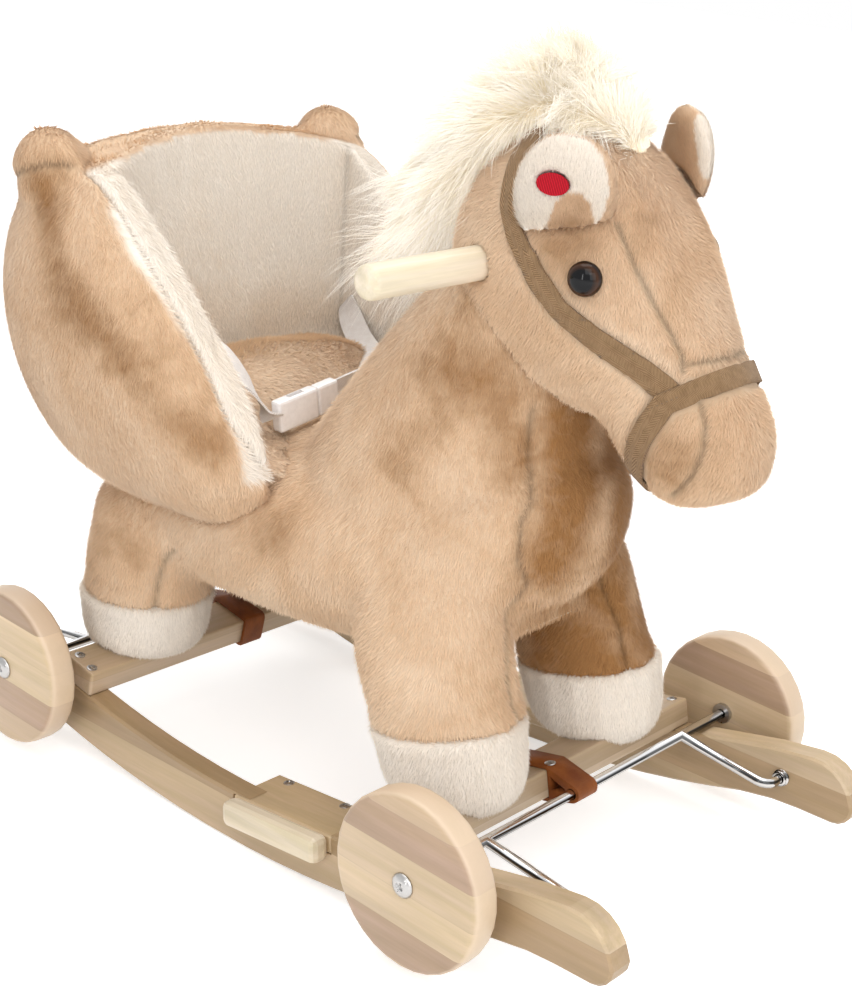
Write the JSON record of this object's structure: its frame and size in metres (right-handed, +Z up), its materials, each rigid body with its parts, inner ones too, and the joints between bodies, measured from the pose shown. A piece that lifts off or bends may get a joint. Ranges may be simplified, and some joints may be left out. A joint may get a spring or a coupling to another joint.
{
  "type": "ride-on rocking horse",
  "caption": "Stuffed plush horse with a bucket seat and handle, on wooden rockers with wheel frames that swing under to let it roll.",
  "frame": {"origin": "on the floor under the middle of the two rockers", "axes": "+X towards the horse's head, +Y to the horse's left side, +Z up"},
  "size_m": [0.618, 0.347, 0.5059],
  "materials": {
    "rocker_wood": "clear lacquer on jointed strips",
    "pale_wood": "sanded and lacquered",
    "core_wood": "raw plywood",
    "wheel_wood": "clear lacquer",
    "rod_chrome": "bright plate",
    "screw_steel": "zinc plated",
    "strap_leather": "brown, pebbled",
    "tan_plush": "short pile plush over stuffing",
    "white_plush": "short pile plush over stuffing",
    "cream_hair": "long pile",
    "bridle_webbing": "herringbone tape",
    "belt_webbing": "ribbed webbing",
    "buckle_plastic": "moulded, semi-gloss",
    "button_plastic": "cloth-covered button cap",
    "eye_plastic": "polished"
  },
  "bodies": {
    "horse": {"rocker_right": "rocker_wood", "rocker_left": "rocker_wood", "beam_front": "rocker_wood", "beam_rear": "rocker_wood", "footrest_plate_right": "rocker_wood", "footrest_plate_left": "rocker_wood", "footrest_block_right": "pale_wood", "footrest_block_left": "pale_wood", "handle": "pale_wood", "leg_post_front_right": "pale_wood", "leg_post_front_left": "pale_wood", "leg_post_rear_right": "pale_wood", "leg_post_rear_left": "pale_wood", "core_board": "core_wood", "pivot_collar_front_right": "rod_chrome", "pivot_collar_front_left": "rod_chrome", "pivot_collar_rear_right": "rod_chrome", "pivot_collar_rear_left": "rod_chrome", "retainer_front": "strap_leather", "retainer_rear": "strap_leather", "body_plush": "tan_plush", "head": "tan_plush", "ear_right": "tan_plush", "ear_left": "tan_plush", "seat_shell": "tan_plush", "seat_cushion": "tan_plush", "leg_front_right": "tan_plush", "leg_front_left": "tan_plush", "leg_rear_right": "tan_plush", "leg_rear_left": "tan_plush", "seat_lining": "white_plush", "hoof_front_right": "white_plush", "hoof_front_left": "white_plush", "hoof_rear_right": "white_plush", "hoof_rear_left": "white_plush", "mane": "cream_hair", "tail": "cream_hair", "headstall": "bridle_webbing", "noseband": "bridle_webbing", "belt_right": "belt_webbing", "belt_left": "belt_webbing", "buckle_housing": "buckle_plastic", "eye_right": "eye_plastic", "eye_left": "eye_plastic"},
    "front_wheel_frame": {"wheel_frame_front": "rod_chrome", "hub_screw_front_right": "screw_steel", "hub_screw_front_left": "screw_steel", "wheel_washer_front_right": "screw_steel", "wheel_washer_front_left": "screw_steel"},
    "front_right_wheel": {"wheel_front_right": "wheel_wood"},
    "front_left_wheel": {"wheel_front_left": "wheel_wood"},
    "rear_wheel_frame": {"wheel_frame_rear": "rod_chrome", "hub_screw_rear_right": "screw_steel", "hub_screw_rear_left": "screw_steel", "wheel_washer_rear_right": "screw_steel", "wheel_washer_rear_left": "screw_steel"},
    "rear_right_wheel": {"wheel_rear_right": "wheel_wood"},
    "rear_left_wheel": {"wheel_rear_left": "wheel_wood"},
    "buckle_tongue_body": {"buckle_tongue": "buckle_plastic"},
    "sound_button_body": {"sound_button": "button_plastic"}
  },
  "joints": [
    {"name": "front_wheel_frame_swing", "type": "hinge", "parent": "horse", "child": "front_wheel_frame", "pos_m": [0.2564, 0, 0.0542], "axis": [0, 1, 0], "range_deg": [0, 321.5], "deforming": ["retainer_front"]},
    {"name": "front_right_wheel_spin", "type": "hinge", "parent": "front_wheel_frame", "child": "front_right_wheel", "pos_m": [0.187, -0.16, 0.064], "axis": [0, 1, 0], "continuous": true},
    {"name": "front_left_wheel_spin", "type": "hinge", "parent": "front_wheel_frame", "child": "front_left_wheel", "pos_m": [0.187, 0.16, 0.064], "axis": [0, 1, 0], "continuous": true},
    {"name": "rear_wheel_frame_swing", "type": "hinge", "parent": "horse", "child": "rear_wheel_frame", "pos_m": [-0.2564, 0, 0.0542], "axis": [0, -1, 0], "range_deg": [0, 321.5], "deforming": ["retainer_rear", "hoof_rear_right", "hoof_rear_left"]},
    {"name": "rear_right_wheel_spin", "type": "hinge", "parent": "rear_wheel_frame", "child": "rear_right_wheel", "pos_m": [-0.187, -0.16, 0.064], "axis": [0, 1, 0], "continuous": true},
    {"name": "rear_left_wheel_spin", "type": "hinge", "parent": "rear_wheel_frame", "child": "rear_left_wheel", "pos_m": [-0.187, 0.16, 0.064], "axis": [0, 1, 0], "continuous": true},
    {"name": "buckle_release", "type": "slide", "parent": "horse", "child": "buckle_tongue_body", "axis": [0.0198, 0.9887, 0.1483], "range_m": [0, 0.014], "deforming": ["belt_left"]},
    {"name": "sound_button_press", "type": "slide", "parent": "horse", "child": "sound_button_body", "axis": [-0.4748, 0.8719, -0.1198], "range_m": [0, 0.0015], "stiffness_N_per_m": 600}
  ]
}
